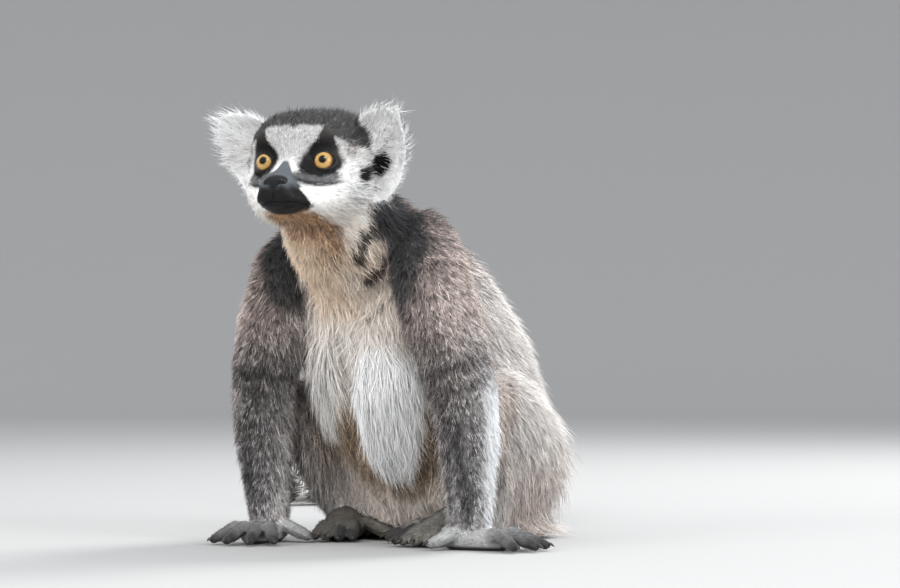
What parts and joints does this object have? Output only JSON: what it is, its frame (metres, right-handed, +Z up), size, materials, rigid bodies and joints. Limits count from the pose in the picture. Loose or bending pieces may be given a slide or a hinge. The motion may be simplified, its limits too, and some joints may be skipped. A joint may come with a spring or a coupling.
{
  "type": "seated ring-tailed lemur",
  "caption": "Life-size ring-tailed lemur sitting on its rump with both hands planted in front, head turned and ringed tail laid on the floor behind.",
  "frame": {"origin": "centre of the flat under the rump, on the floor", "axes": "+Z up; the animal faces -Y and its left side is +X"},
  "size_m": [0.4775, 0.6059, 0.2853],
  "materials": {
    "grey_fur": "grizzled grey-brown coat of the back, limbs and flanks",
    "white_fur": "soft white coat of the face, throat, chest and ears",
    "brown_fur": "thin beige-brown coat of the belly and loins",
    "tail_fur": "dense tail coat in black and white rings",
    "muzzle_skin": "bare black skin of the nose and lips, slightly moist",
    "eye_amber": "wet amber eye with a dark pupil"
  },
  "bodies": {
    "root": {"head": "white_fur", "lower_jaw": "muzzle_skin", "nose": "muzzle_skin", "eye_left": "eye_amber", "eye_right": "eye_amber", "ear_left": "white_fur", "ear_right": "white_fur", "neck": "white_fur", "chest": "white_fur", "loins": "brown_fur", "rump": "grey_fur", "tail_1": "tail_fur", "tail_2": "tail_fur", "tail_3": "tail_fur", "tail_4": "tail_fur", "tail_5": "tail_fur", "upper_arm_left": "grey_fur", "upper_arm_right": "grey_fur", "forearm_left": "grey_fur", "forearm_right": "grey_fur", "hand_left": "grey_fur", "hand_right": "grey_fur", "thigh_left": "grey_fur", "thigh_right": "grey_fur", "shank_left": "grey_fur", "shank_right": "grey_fur", "foot_left": "grey_fur", "foot_right": "grey_fur"}
  },
  "joints": []
}
